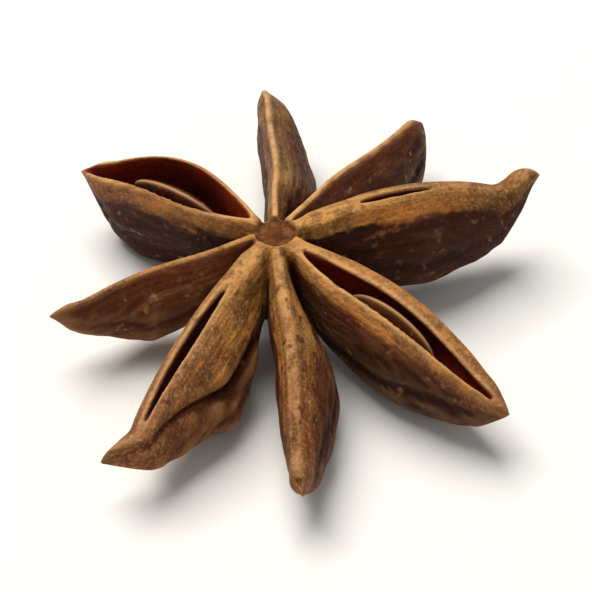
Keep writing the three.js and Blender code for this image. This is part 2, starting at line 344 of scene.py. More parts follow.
def to_carpel(carpel, points):
    turn = math.radians(carpel["direction"])
    out = points[:, 0] * math.cos(turn) + points[:, 1] * math.sin(turn)
    left = points[:, 1] * math.cos(turn) - points[:, 0] * math.sin(turn)
    along = (out - ROOT) / (carpel["reach"] - ROOT)
    station = np.clip(along, 0, 1)
    roll, aside = bend_at(carpel, station)
    across, below = left - aside, seam_height(carpel, station) - points[:, 2]
    side = across * np.cos(roll) + below * np.sin(roll)
    drop = below * np.cos(roll) - across * np.sin(roll)
    return along, side, drop


there = to_pod(CARPELS[0], np.array([0.5]), np.array([1.0]), np.array([2.0]))
back_again = [round(float(value[0]), 3) for value in to_carpel(CARPELS[0], there)]
print("0.5, 1 and 2 there and back:", back_again)

# %% [markdown]
# ## Lofting
# A loft lays a skin over stations. A sphere is the simplest closed skin: its rings are stations, and its
# poles close the ends. Resized rings can't give lips and a crease, so each point is laid onto its station's
# formula.

# %% A skin over stations
POLE = 1e-4  # a point nearer than this to an end is a pole


def skin(name, sides, stations, place):
    """A sphere laid along a carpel. place turns shares of the length and angles into points."""
    deselect_all()
    bpy.ops.mesh.primitive_uv_sphere_add(segments=sides, ring_count=stations, radius=1)
    piece = bpy.context.object
    piece.name = name
    ball = points_of(piece)
    even = np.arccos(np.clip(-ball[:, 2], -1, 1)) / np.pi
    crowded_ends = (1 - np.cos(np.pi * even)) / 2
    poles = (even < POLE) | (even > 1 - POLE)
    angle = np.where(poles, 0, np.arctan2(ball[:, 0], ball[:, 1]))
    set_points(piece, place(lerp(even, crowded_ends, 0.5), angle, poles))
    face_outwards(piece)
    return piece


print("skin ready")

# %% The eight bodies
BODY_SIDES, BODY_STATIONS = 64, 72
TIP = 0.88  # share of the length where the beak draws in
SQUARE_LIPS, SQUARE_KEEL = 0.3, 0.6  # how square the section is: 0 is a box, 1 an ellipse


def carpel_body(carpel):
    def place(along, angle, poles):
        depth = depth_at(carpel, along)
        down = (1 - np.cos(angle)) / 2
        cap = 1 - (np.maximum(0, along - TIP) / (1 - TIP)) ** carpel["blunt"]
        across = np.sign(np.sin(angle)) * np.abs(np.sin(angle)) ** lerp(SQUARE_LIPS, SQUARE_KEEL, down)
        side = across * side_at(carpel, along, down)
        drop = np.where(poles, depth / 2, lerp(depth / 2, down * depth, cap))
        return to_pod(carpel, along, np.where(poles, 0, side * cap), drop)
    return skin("carpel", BODY_SIDES, BODY_STATIONS, place)


bodies = [carpel_body(carpel) for carpel in CARPELS]
print("lofted", len(bodies), "carpels of", len(bodies[0].data.polygons), "faces")

# %% [markdown]
# ## The column
# The carpels grow from a short column with the broken stalk under it. It is drawn up as a potter would: a
# disc for the stalk's end, extruded and resized from ring to ring.

# %% Raise the column
COLUMN_RADIUS = 2.4
COLUMN_TOP = 0.5  # the column's top lies this far below the lips round it
COLUMN_SHOULDER = 2.4  # and its upper part narrows from here
PIT_RADIUS = 1.25  # the lips end round a pit of this radius
STUMP_RADIUS = 1.1  # broken end of the stalk, underneath
STUMP_END = 1.0  # its height above the surface
ROUND_SIDES = 48


def raise_column():
    end = STUMP_END - STAND
    profile = [
        (STUMP_RADIUS * 0.95, end), (STUMP_RADIUS * 1.15, end + 0.3), (STUMP_RADIUS, end + 0.9),
        (COLUMN_RADIUS * 0.75, end + 1.5), (COLUMN_RADIUS, end + 2.5),
        (COLUMN_RADIUS * 0.9, -COLUMN_SHOULDER), (COLUMN_RADIUS * 0.7, -COLUMN_TOP - 0.3),
        (PIT_RADIUS * 0.8, -COLUMN_TOP),
    ]
    deselect_all()
    radius, height = profile[0]
    bpy.ops.mesh.primitive_circle_add(
        vertices=ROUND_SIDES, radius=radius, fill_type="NGON", location=(0, 0, height))
    piece = bpy.context.object
    bpy.ops.object.transform_apply()
    mode("EDIT")
    for next_radius, next_height in profile[1:]:
        bpy.ops.mesh.extrude_region_move(TRANSFORM_OT_translate={"value": (0, 0, next_height - height)})
        share = next_radius / radius
        bpy.ops.transform.resize(value=(share, share, 1), center_override=(0, 0, next_height))
        radius, height = next_radius, next_height
    face_outwards(piece)
    return piece


column = raise_column()
print("column of", len(column.data.polygons), "faces")

# %% [markdown]
# ## One body
# The carpels and the column have grown together without a seam. A voxel remesh does just that: it reads the
# overlapping skins as one volume, and lays one even skin over it.

# %% Grow the carpels together
UNION_CELL = 0.13
husk = join([column, *bodies], "husk_rind")
add_modifier(husk, "REMESH", mode="VOXEL", voxel_size=UNION_CELL)
print("one body of", len(husk.data.polygons), "faces")

# %% [markdown]
# ## Slits, hollows and the pit
# Two gaping carpels have a hollow with room for a seed, three others a narrow slit or just a groove, and
# all lips end round a small pit. Each is a closed skin of its own that a Boolean takes away. The last three
# seams stay shut.

# %% The form of an opening
WALL = 0.65  # thickness of a carpel's wall below the lips
SEED = dict(length=6.8, height=4.1, thick=1.4, taper=0.1)
SEED_GAP = 0.5  # clearance between the seed and the floor of the hollow
GROOVE_WIDTH = 0.34  # the groove along a shut seam, before its edges are softened
GROOVE_DEPTH = 0.3
SLIT_DEEPENS = 4  # a slit goes this many times its half gape deeper than a groove
HOLLOW_ENDS, GROOVE_ENDS = 0.35, 0.5  # how bluntly they end: 0 square, 1 pointed
SHALLOW_END = 0.5  # share of a hollow's depth at its ends
LEAST_ROOM = 0.4
WIDENS = (0.2, 1.4)  # mm below the lips over which a mouth widens to its hollow


def slit_ends(carpel, along, bluntness):
    return np.clip(np.sin(np.pi * slit_share(carpel, along)), 0, 1) ** bluntness


def room_at(carpel, along):
    """How deep it goes below the lips."""
    if "seed" not in carpel:
        return GROOVE_DEPTH + SLIT_DEEPENS * half_gape_at(carpel, along)
    seat = SEED["height"] + carpel["seed"]["below"] + SEED_GAP
    ends = lerp(SHALLOW_END, 1, slit_ends(carpel, along, HOLLOW_ENDS))
    return np.maximum(np.minimum(depth_at(carpel, along) - WALL, seat) * ends, LEAST_ROOM)


def wall_at(carpel, along, drop):
    """How far its wall is from its middle."""
    mouth = half_gape_at(carpel, along)
    if "seed" not in carpel:
        return np.maximum(mouth, GROOVE_WIDTH / 2 * slit_ends(carpel, along, GROOVE_ENDS))
    flank = side_at(carpel, along, np.clip(drop / depth_at(carpel, along), 0, 1))
    inner = np.maximum(flank - WALL, mouth) * slit_ends(carpel, along, HOLLOW_ENDS)
    return lerp(mouth, inner, rises(drop, *WIDENS))


def middle_at(carpel, along, drop):
    """How far its middle lies to the left of the seam."""
    return carpel.get("aside", 0) * slit_ends(carpel, along, HOLLOW_ENDS) * fades(drop, *WIDENS)


slit_carpels = [carpel for carpel in CARPELS if "slit" in carpel]
print(len(slit_carpels), "seams to cut")

# %% Cut the openings
OPENING_SIDES, OPENING_STATIONS = 32, 48
HOLLOW_TOOL = dict(above=1, square=0.5, pole=0.1)  # mm above the lips, section, place of the poles
SLIT_TOOL = dict(above=0.6, square=1, pole=0.3)
PIT_TOOL_HEIGHT = 3
PIT_EDGE = 0.35


def opening(carpel):
    tool = HOLLOW_TOOL if "seed" in carpel else SLIT_TOOL

    def place(share, angle, poles):
        along = lerp(*carpel["slit"], share)
        down = np.where(poles, tool["pole"], (1 - np.cos(angle)) / 2)
        drop = lerp(-tool["above"], room_at(carpel, along), down)
        across = np.where(poles, 0, np.sin(angle))
        side = np.sign(across) * np.abs(across) ** tool["square"] * wall_at(carpel, along, drop)
        return to_pod(carpel, along, side + middle_at(carpel, along, drop), drop)
    return skin("opening", OPENING_SIDES, OPENING_STATIONS, place)


def pit():
    deselect_all()
    bpy.ops.mesh.primitive_cylinder_add(
        vertices=ROUND_SIDES, radius=PIT_RADIUS, depth=PIT_TOOL_HEIGHT,
        location=(0, 0, PIT_TOOL_HEIGHT / 2 - COLUMN_TOP))
    piece = bpy.context.object
    bpy.ops.object.transform_apply()
    mode("EDIT")
    bpy.ops.mesh.bevel(offset=PIT_EDGE, segments=4, affect="EDGES")
    mode("OBJECT")
    return piece


for tool in [pit(), *[opening(carpel) for carpel in slit_carpels]]:
    add_modifier(husk, "BOOLEAN", operation="DIFFERENCE", solver="MANIFOLD", object=tool)
    bpy.data.objects.remove(tool)
print("cut to", len(husk.data.polygons), "faces")

# %% Even out the skin
SKIN_CELL = 0.1
add_modifier(husk, "REMESH", mode="VOXEL", voxel_size=SKIN_CELL)
soften(husk, 6)
print("even skin of", len(husk.data.polygons), "faces")

# %% [markdown]
# ## Reading the skin
# Relief and colour need to know where on its carpel each point lies. A point is read in all eight carpels,
# and belongs to the one whose section it is nearest to. The way its normal leans tells a lining from a
# flank.

# %% Which carpel, and where on it
BEYOND_TIP, BEYOND_ROOT = 5, 50  # how fast a point past an end gets off its carpel
ROOT_SLACK = 0.05  # share of the length inside the root
NORMAL_STEP = 0.05  # how far along a normal its direction is read


def normals_of(piece):
    normals = np.empty(len(piece.data.vertices) * 3)
    piece.data.vertex_normals.foreach_get("vector", normals)
    return normals.reshape(-1, 3)


def read_points(points):
    """Reads each point in the carpel that it is nearest to."""
    read = dict(owner=np.zeros(len(points), int), off=np.full(len(points), np.inf))
    for name in ("along", "side", "drop", "down"):
        read[name] = np.zeros(len(points))
    for number, carpel in enumerate(CARPELS):
        along, side, drop = to_carpel(carpel, points)
        station = np.clip(along, 0, 1)
        down = drop / depth_at(carpel, station)
        half = side_at(carpel, station, np.clip(down, 0, 1))
        beyond = BEYOND_TIP * np.maximum(along - 1, 0) + BEYOND_ROOT * np.maximum(-ROOT_SLACK - along, 0)
        off = np.maximum(np.abs(side) / half, np.abs(2 * down - 1)) + beyond
        nearer = off < read["off"]
        found = dict(owner=number, off=off, along=station, side=side, drop=drop, down=down)
        for name, value in found.items():
            read[name] = np.where(nearer, value, read[name])
    return read


def read_skin(piece):
    """Reads a piece's points, and how far their normals lean to the left."""
    points = points_of(piece)
    read = read_points(points)
    along_normal = read_points(points + NORMAL_STEP * normals_of(piece))
    read["lean"] = (along_normal["side"] - read["side"]) / NORMAL_STEP
    return read


read = read_skin(husk)
print("points on each carpel:", np.bincount(read["owner"]).tolist())

# %% Looking sizes up for each point
PATTERN_STEP = 31.7  # keeps two carpels from having the same pattern


def of_carpel(read, name):
    return np.array([carpel[name] for carpel in CARPELS], float)[read["owner"]]


def at_station(read, formula):
    each = np.stack([formula(carpel, read["along"]) for carpel in CARPELS])
    return each[read["owner"], np.arange(len(read["owner"]))]


def at_slit(read, formula, elsewhere):
    """A formula of the carpels with a slit, for each point."""
    values = np.full(len(read["owner"]), float(elsewhere))
    for number, carpel in enumerate(CARPELS):
        if "slit" in carpel:
            values = np.where(read["owner"] == number, formula(carpel), values)
    return values


def grain_of(read):
    """Coordinates in mm: out along the carpel, to the side, and down from the seam."""
    apart = read["owner"] * PATTERN_STEP
    out = read["along"] * of_carpel(read, "reach")
    return np.stack([out + apart, read["side"], read["drop"] + apart], axis=1)


grain = grain_of(read)
print("grain runs over", np.round(np.ptp(read["side"]), 1), "mm to the sides")

# %% Inside or outside
FACES_IN = (0.1, 0.5)  # lean away from the middle, from a lining to a flank
IN_WALL = (0.1, 0.4)  # mm past the wall of an opening,
UNDER_LIP = (0.12, 0.4)  # mm below the lips,
UNDER_FLOOR = (0.2, 0.4)  # mm below its floor,
OPEN = (0.03, 0.12)  # and mm of half gape


def off_middle(read, carpel):
    return read["side"] - middle_at(carpel, read["along"], read["drop"])


def past_wall(read):
    """How far each point is beyond its opening's wall, into the rind."""
    def beyond(carpel):
        return np.abs(off_middle(read, carpel)) - wall_at(carpel, read["along"], read["drop"])
    return at_slit(read, beyond, np.inf)


def is_inside(read):
    """1 on the lining of a hollow or a slit, 0 elsewhere."""
    near_wall = fades(past_wall(read), *IN_WALL)

    def lined(carpel):
        along, drop = read["along"], read["drop"]
        facing_in = fades(np.sign(off_middle(read, carpel)) * read["lean"], *FACES_IN)
        below_lips = rises(drop, *UNDER_LIP) * fades(drop - room_at(carpel, along), *UNDER_FLOOR)
        return facing_in * near_wall * below_lips * rises(half_gape_at(carpel, along), *OPEN)
    return at_slit(read, lined, 0)


print("share of the points on a lining:", round(float(is_inside(read).mean()), 3))

# %% [markdown]
# ## Wrinkles and dents
# As the rind dries, the back draws up into winding ridges, the flanks sink in shallow furrows along the
# length, and the lips stay smooth. A plain texture would run the same way everywhere, so each stroke is
# worked out in the carpel's own coordinates, painted as a vertex group, and raised or sunk by a Displace
# modifier.

# %% Painting heights
RIDGE, SIDE_RIDGE = 3, 0.8  # how steeply a ridge falls off, and the finer ones beside it
FINER = 2.1


def field(function, coordinates, size):
    """Noise over points, with features so many mm long, wide and high."""
    return np.array([function(Vector(point)) for point in coordinates / np.array(size)])


def ridge(point):
    return 1 - RIDGE * abs(noise.noise(point)) - SIDE_RIDGE * abs(noise.noise(point * FINER))


def paint(piece, name, weights):
    group = piece.vertex_groups.new(name=name)
    for i, weight in enumerate(weights.tolist()):
        if weight > 0:
            group.add((i,), weight, "REPLACE")


def stroke(piece, heights):
    for name, part, sign in (("raised", np.maximum(heights, 0), 1), ("sunk", np.maximum(-heights, 0), -1)):
        most = part.max()
        paint(piece, name, part / most)
        settings = dict(direction="NORMAL", mid_level=0, strength=sign * most, vertex_group=name)
        add_modifier(piece, "DISPLACE", **settings)
    piece.vertex_groups.clear()


print("strokes ready")

# %% Raise the relief
# each stroke's height, and its size along, across and down
UNEVEN, UNEVEN_SIZE = 0.12, (3.5, 2.0, 2.0)
LOBE, LOBE_SIZE = 1.2, (2.0, 1.5, 1.5)
WINDING, WINDING_SIZE = 0.3, (3.0, 1.3, 1.3)
FURROW, FURROW_SIZE = 0.04, (4.0, 1.0, 1.0)
GRAIN, GRAIN_SIZE = 0.02, (0.8, 0.35, 0.35)
LEAVES_MOUTH, LEAVES_SEAM = (0.0, 0.4), (0.3, 1.0)  # mm over which the relief comes in
LEAVES_ROOT, NEARS_TIP = (0.08, 0.3), (0.86, 0.99)  # shares of the length
ON_BACK = (0.0, 0.12)  # share of the depth past the crease

off_lips = rises(past_wall(read), *LEAVES_MOUTH) * (1 - is_inside(read))
below_lips = rises(read["drop"], *LEAVES_SEAM) * off_lips
mid_length = rises(read["along"], *LEAVES_ROOT) * fades(read["along"], *NEARS_TIP)
on_back = rises(read["down"] - at_station(read, back_at), *ON_BACK)
lobes = LOBE * field(noise.noise, grain, LOBE_SIZE)

heights = UNEVEN * field(noise.noise, grain, UNEVEN_SIZE)
heights += of_carpel(read, "wrinkle") * on_back * (lobes + WINDING * field(ridge, grain, WINDING_SIZE))
heights += FURROW * (1 - on_back) * field(ridge, grain, FURROW_SIZE)
heights += GRAIN * field(noise.noise, grain, GRAIN_SIZE)
stroke(husk, heights * below_lips * mid_length)
print("relief from", round(heights.min(), 2), "to", round(heights.max(), 2), "mm")

# %% Soften the lips
LIP_WALL, LIP_DEPTH = (0.4, 0.65), (2.0, 3.0)  # mm past the wall and below the seam where softening ends
near_mouth = fades(past_wall(read), *LIP_WALL) * fades(read["drop"], *LIP_DEPTH)
paint(husk, "lips", near_mouth)
soften(husk, 20, where="lips")
print("softened", int((near_mouth > 0).sum()), "points at the mouths")

# %% [markdown]
# ## Thinning, and the flat spots
# A Decimate modifier takes points away where they show least. The pod lies on the keels of a few carpels,
# each worn to a small flat spot, which a bisect cuts level.

# %% Thin out and level
MOST_FACES = 185000
kept_share = MOST_FACES / (2 * len(husk.data.polygons))
add_modifier(husk, "DECIMATE", ratio=kept_share, use_collapse_triangulate=True)
soften(husk, 6, where="lips")
husk.vertex_groups.clear()
edit_all(husk)
bpy.ops.mesh.bisect(plane_co=(0, 0, -STAND), plane_no=(0, 0, 1), use_fill=True, clear_inner=True)
bpy.ops.mesh.select_all(action="SELECT")
bpy.ops.mesh.quads_convert_to_tris()
mode("OBJECT")
bpy.ops.object.shade_smooth()
print("husk of", len(husk.data.polygons), "triangles")

# %% [markdown]
# ## Tones and masks
# The finish needs to know how near a point is to the seam, whether it is on the back or in a hollow, and
# whether it stands out or lies in a furrow, which painted shade darkens. Each is stored as an attribute
# that a material reads by name. Every carpel has its own strength of each tone. crown is how far down the
# light crown of the rind reaches, in mm.

# %% The tones of each carpel
TONE_NAMES = ("crown", "olive", "orange", "red", "dark", "specked", "pale")
TONES = [
    (1.0, 0.4, 1.0, 0.45, 1, 0.6, 0.4),
    (0.15, 0.1, 0.3, 0.8, 0.5, 0.1, 0.9),
    (1.3, 0.9, 0.1, 0.5, 0.34, 0.3, 1.1),
    (1.4, 0.1, 0.5, 0.9, 1, 0.2, 0.7),
    (0.15, 0.2, 0.3, 0.8, 0.17, 0.05, 0.3),
    (2.6, 0.45, 0.4, 1, 0.12, 0.6, 0.6),
    (1.5, 0.4, 0.3, 0.9, 0.35, 0.9, 0.6),
    (0.8, 0.4, 0.7, 0.9, 0.42, 0.4, 0.6),
]
read = read_skin(husk)
tone = {name: np.array(each)[read["owner"]] for name, each in zip(TONE_NAMES, zip(*TONES))}
print("tones:", ", ".join(tone))

# %% What stands out, and where each point lies
LIFT_ROUNDS = 12  # how often the surroundings are smoothed


def lift_of(piece):
    """How far each point stands out from its smoothed surroundings, in mm."""
    points = points_of(piece)
    edges = np.empty(len(piece.data.edges) * 2, int)
    piece.data.edges.foreach_get("vertices", edges)
    ends, others = edges.reshape(-1, 2).T.ravel(), edges.reshape(-1, 2)[:, ::-1].T.ravel()
    count = np.bincount(ends, minlength=len(points))
    smooth = points
    for _ in range(LIFT_ROUNDS):
        sums = [np.bincount(ends, smooth[others, axis], len(points)) / count for axis in range(3)]
        smooth = np.stack(sums, axis=1)
    return np.sum((points - smooth) * normals_of(piece), axis=1)


lift = lift_of(husk)
points = points_of(husk)
height = points[:, 2]
off_axis = np.hypot(points[:, 0], points[:, 1])
along, drop = read["along"], read["drop"]
share_down = read["down"] / at_station(read, back_at)  # 1 at the crease
band = drop / tone["crown"]  # 1 at the crown's lower border
print("lift from", round(lift.min(), 2), "to", round(lift.max(), 2), "mm")

# %% Masks of crown, flank and back
BY_COLUMN, PAST_ROOT, OUTER = (0.12, 0.45), (0.15, 0.35), (0.3, 0.7)  # shares of the length
TO_MIDDLE, TO_BEAK, NEAR_TIP = (0.45, 0.75), (0.7, 0.9), (0.6, 0.9)
CROWN_ENDS, SPECKS_END = (0.5, 1.5), (0.8, 1.6)  # in crowns
ORANGE_AT, ORANGE_SPREAD = 0.75, 0.45
DEEPENS, BACK_STARTS, CREASE_SPREAD = (0.1, 0.7), (0.95, 1.1), 0.09  # shares of the way to the crease
# ROOT_DARKER adds painted shade to the flanks near the column, where the carpels crowd together
ROOT_DARKER, TIP_OLIVER, DARK_BACK = 0.15, 0.8, 0.8  # how much more or less of a tone there is there
FLECKS_START = (0.5, 1.2)  # mm below the seam

by_column = fades(along, *BY_COLUMN)
middle = rises(along, *PAST_ROOT) * fades(along, *TO_MIDDLE)
mid_way = rises(along, *PAST_ROOT) * fades(along, *TO_BEAK)
creased = np.clip(2.5 * of_carpel(read, "crease"), 0.2, 1)
masks = dict(
    crown=fades(band, *CROWN_ENDS),
    root=by_column,
    olive=tone["olive"] * (1 + TIP_OLIVER * rises(along, *NEAR_TIP)),
    # orange is a band below the crown, partly the rind's own orange and partly a painted highlight where
    # the upper flank turns to the light
    orange=tone["orange"] * bell(band, ORANGE_AT, ORANGE_SPREAD) * middle,
    red=tone["red"],
    outer=tone["red"] * rises(along, *OUTER),
    # deep is painted shade: darker down the flank towards the crease, and near the column
    deep=tone["dark"] * rises(share_down + ROOT_DARKER * by_column, *DEEPENS),
    # crease is painted shade laid along the crease
    crease=bell(share_down, 1, CREASE_SPREAD) * creased * mid_way,
    back=rises(share_down, *BACK_STARTS) * (1 - DARK_BACK * tone["dark"]),
    specked=tone["specked"] * fades(band, *SPECKS_END),
    flecked=(1 - tone["specked"]) * rises(drop, *FLECKS_START),
)
print("masks of the rind:", ", ".join(masks))

# %% Masks of mouths, hub, wear and painted shade
GAPING = (0.8, 1.5)  # mm of gape from a slit to a gaping mouth
LIP_ENDS, EDGE_ENDS = (0.2, 0.6), (0.15, 0.4)  # mm below the seam
BRIM_AT, BRIM_SPREAD = 0.1, 0.13  # mm past the wall
SEAM_SPREAD = 0.28
HUB_RADIUS, HUB_BORDER = 1.3, 0.2
HUB_LOW, HUB_RIM = (-2, -1.2), (-0.35, 0)  # heights between which the hub and its rim lie
FULL_LIFT = 0.1  # mm that count as standing right out
NEAR_SEAM, ON_BACK_SIDE = (0.8, 1.4), (1, 1.2)
DARK_EDGE, DARK_RECESS, BACK_RECESS = 0.85, 0.5, 0.4  # how much less edge wear, and less painted shade in the furrows, shows there

inside = is_inside(read)
gaping = rises(of_carpel(read, "gape"), *GAPING)
mouth_edge = bell(past_wall(read), BRIM_AT, BRIM_SPREAD) * rises(at_station(read, half_gape_at), *OPEN)
on_hub = rises(height, *HUB_LOW)
worn = lerp(1 - DARK_EDGE * tone["dark"], tone["pale"], fades(band, *NEAR_SEAM))
# recess_shade is how strongly painted shade darkens the furrows: less on dark carpels and on the back
recess_shade = (1 - DARK_RECESS * tone["dark"]) * (1 - BACK_RECESS * rises(share_down, *ON_BACK_SIDE))
masks.update(
    lining=inside,
    # slit is painted shade inside the narrow slits that don't gape
    slit=inside * (1 - gaping),
    lip=gaping * fades(drop, *LIP_ENDS),
    brim=tone["pale"] * mouth_edge * fades(drop, *EDGE_ENDS),
    seam=tone["pale"] * bell(read["side"], 0, SEAM_SPREAD) * fades(drop, *EDGE_ENDS),
    hub=fades(off_axis, HUB_RADIUS - HUB_BORDER, HUB_RADIUS) * on_hub,
    # rim is painted shade round the rim of the pit
    rim=bell(off_axis, HUB_RADIUS, HUB_BORDER) * on_hub * fades(height, *HUB_RIM),
    edge=np.clip(lift / FULL_LIFT, 0, 1) * worn,
    # recess is painted shade in the furrows, where a point lies below its smoothed surroundings
    recess=np.clip(-lift / FULL_LIFT, 0, 1) * recess_shade,
)
print(len(masks), "masks in all")

# %% Write the masks
def write_mask(piece, name, values):
    attribute = piece.data.attributes.new(name, "FLOAT", "POINT")
    attribute.data.foreach_set("value", np.asarray(values, np.float32).ravel())


for name, values in masks.items():
    write_mask(husk, name, values)
grain_attribute = husk.data.attributes.new("grain", "FLOAT_VECTOR", "POINT")
grain_attribute.data.foreach_set("vector", np.asarray(grain_of(read), np.float32).ravel())
to_frame(husk)
print("written:", len(husk.data.attributes), "attributes")

# %% [markdown]
# ## Effects for the materials
# Soft mottling is on the rind, the seeds and the floor, small specks on the rind and the seeds, and fibres
# run through the rind. Each effect is a node group, built once and used with its own values.

# %% Node helpers
tree = None  # the node tree that the helpers work in


def work_in(node_tree):
    global tree
    tree = node_tree


def link(output, socket):
    tree.links.new(output, socket)


def srgb(red, green, blue):
    """A paint chart's colour, 0 to 255, in the linear values that nodes take."""
    channels = [v / 3294.6 if v < 10.3 else ((v / 255 + 0.055) / 1.055) ** 2.4 for v in (red, green, blue)]
    return (*channels, 1)


def add_node(kind, inputs=None, **settings):
    """Adds a node, and sets or links its inputs."""
    made = tree.nodes.new(kind)
    for name, value in settings.items():
        setattr(made, name, value)
    for name, value in (inputs or {}).items():
        if isinstance(value, bpy.types.NodeSocket):
            link(value, made.inputs[name])
        else:
            made.inputs[name].default_value = value
    return made


def blend(share, low, high):
    return add_node("ShaderNodeMix", {0: share, 6: low, 7: high}, data_type="RGBA").outputs[2]


def compute(operation, first, second, third=0.0):
    return add_node("ShaderNodeMath", {0: first, 1: second, 2: third}, operation=operation).outputs[0]


def times(first, second):
    return compute("MULTIPLY", first, second)


def ease(value, low, high, start=0.0, end=1.0):
    made = add_node("ShaderNodeMapRange", {0: value, 1: low, 2: high, 3: start, 4: end})
    made.interpolation_type = "SMOOTHSTEP"
    return made.outputs[0]


def mask(name):
    return add_node("ShaderNodeAttribute", attribute_name=name).outputs["Fac"]


print("node helpers ready")

# %% Effects
def start_effect(name, **inputs):
    """A node group with a vector input, number inputs, and one value as its output."""
    work_in(bpy.data.node_groups.new(name, "ShaderNodeTree"))
    tree.interface.new_socket("Vector", in_out="INPUT", socket_type="NodeSocketVector")
    for label, value in inputs.items():
        socket = tree.interface.new_socket(label, in_out="INPUT", socket_type="NodeSocketFloat")
        socket.default_value = value
    tree.interface.new_socket("Value", in_out="OUTPUT", socket_type="NodeSocketFloat")
    return tree.nodes.new("NodeGroupInput").outputs, tree.nodes.new("NodeGroupOutput").inputs


def use_effect(effect, vector, **inputs):
    inputs["Vector"] = vector
    return add_node("ShaderNodeGroup", inputs, node_tree=effect).outputs["Value"]


def clouds_in(vector, scale, detail):
    given = {"Vector": vector, "Scale": scale, "Detail": detail}
    return add_node("ShaderNodeTexNoise", given).outputs[0]


print("effects can be started")

# %% Mottle, specks and fibres
def make_mottle():
    given, result = start_effect("mottle", Scale=1.0, Contrast=1.0)
    clouds = clouds_in(given["Vector"], given["Scale"], detail=3.0)
    centred = compute("SUBTRACT", clouds, 0.5)
    stretched = compute("MULTIPLY_ADD", centred, given["Contrast"], 0.5)
    link(ease(stretched, 0.0, 1.0), result["Value"])
    return tree


def make_specks():
    given, result = start_effect("specks", Scale=1.0, Level=0.65)
    peaks = clouds_in(given["Vector"], given["Scale"], detail=1.5)
    over = compute("SUBTRACT", peaks, given["Level"])
    link(ease(over, -0.02, 0.1), result["Value"])
    return tree


def make_fibres():
    given, result = start_effect("fibres", Scale=1.0, Stretch=6.0)
    parts = add_node("ShaderNodeSeparateXYZ", {0: given["Vector"]})
    slow = compute("DIVIDE", parts.outputs[0], given["Stretch"])
    drawn = add_node("ShaderNodeCombineXYZ", {0: slow, 1: parts.outputs[1], 2: parts.outputs[2]})
    lines = clouds_in(drawn.outputs[0], given["Scale"], detail=4.0)
    link(ease(lines, 0.3, 0.7), result["Value"])
    return tree


mottle, specks, fibres = make_mottle(), make_specks(), make_fibres()
print("effects:", mottle.name, specks.name, fibres.name)

# %% [markdown]
# ## The rind
# A dried rind is many browns at once: an ochre to tan crown along the seam, an orange band below it that is
# partly the rind's own tone and partly a painted highlight, red-brown flanks, pale worn ridges and small
# dark specks. Painted shade darkens the lower flanks to purple-brown, and the furrows, the crease, the
# narrow slits and the pit's rim towards black. The lining is smooth and a deep red.
# Each colour is laid over the last through a mask, as glazes are.

# %% Rind colours
OCHRE = srgb(184, 124, 60)
GOLD = srgb(212, 152, 76)
OLIVE = srgb(130, 98, 48)
# ORANGE is the band below the crown, partly a painted highlight
ORANGE = srgb(204, 128, 56)
TAN = srgb(210, 162, 108)
RED_BROWN = srgb(116, 56, 32)
OLIVE_BROWN = srgb(94, 58, 31)
# PURPLE_BROWN is the painted shade of the lower flanks
PURPLE_BROWN = srgb(62, 28, 18)
BACK_BROWN = srgb(152, 94, 54)
UMBER = srgb(86, 48, 25)
# near black: the dark fibres, specks and blotches, and the painted shade in the furrows, the crease, the
# narrow slits and round the pit
DARK_MARK_AND_SHADE = srgb(30, 13, 9)
PALE = srgb(178, 140, 100)
LINING = srgb(150, 52, 27)
HUB = srgb(122, 70, 38)
print("dark_mark_and_shade and gold, linear red:", round(DARK_MARK_AND_SHADE[0], 3), round(GOLD[0], 3))

# %% Patterns and glazes
def start_material(name):
    material = bpy.data.materials.new(name)
    material.use_nodes = True
    work_in(material.node_tree)
    return material, tree.nodes["Principled BSDF"]


def place_in_mm():
    place = add_node("ShaderNodeTexCoord").outputs["Object"]
    return add_node("ShaderNodeVectorMath", {0: place, 1: (1 / MM,) * 3}, operation="MULTIPLY").outputs[0]


def rind_patterns():
    in_mm = place_in_mm()
    with_grain = add_node("ShaderNodeAttribute", attribute_name="grain").outputs["Vector"]
    return dict(
        broad=use_effect(mottle, in_mm, Scale=0.45, Contrast=2.4),
        small=use_effect(mottle, in_mm, Scale=1.8, Contrast=2.4),
        fine=use_effect(mottle, with_grain, Scale=5.5, Contrast=2.2),
        patches=use_effect(mottle, with_grain, Scale=0.9, Contrast=2.6),
        streaks=use_effect(fibres, with_grain, Scale=1.3, Stretch=5.0),
        threads=use_effect(fibres, with_grain, Scale=3.6, Stretch=7.0),
        dots=use_effect(specks, in_mm, Scale=1.6, Level=0.62),
        flecks=use_effect(specks, in_mm, Scale=1.4, Level=0.64),
    )


def uneven(look, value, amount):
    both = compute("ADD", look["streaks"], look["small"])
    return compute("ADD", value, compute("MULTIPLY_ADD", both, amount, -amount))


def lay(colour, over, share, strength=1.0):
    """Lays a colour over another through a mask, as a glaze."""
    return blend(times(share, strength), colour, over)


print("glazes ready")

# %% Crown and flank
def crown_colour(look):
    broad = look["broad"]
    olive = times(mask("olive"), ease(broad, 0, 1, start=0.5, end=2))
    gold = times(mask("root"), ease(broad, 0, 1, start=0.4, end=1))
    blotches = times(mask("red"), look["small"])
    outer = uneven(look, mask("outer"), amount=0.2)
    colour = blend(olive, OCHRE, OLIVE)
    colour = lay(colour, GOLD, gold, 0.8)
    colour = lay(colour, RED_BROWN, blotches, 0.4)
    colour = lay(colour, RED_BROWN, outer, 0.8)
    return lay(colour, UMBER, ease(look["patches"], 0.5, 0.9), 0.6)


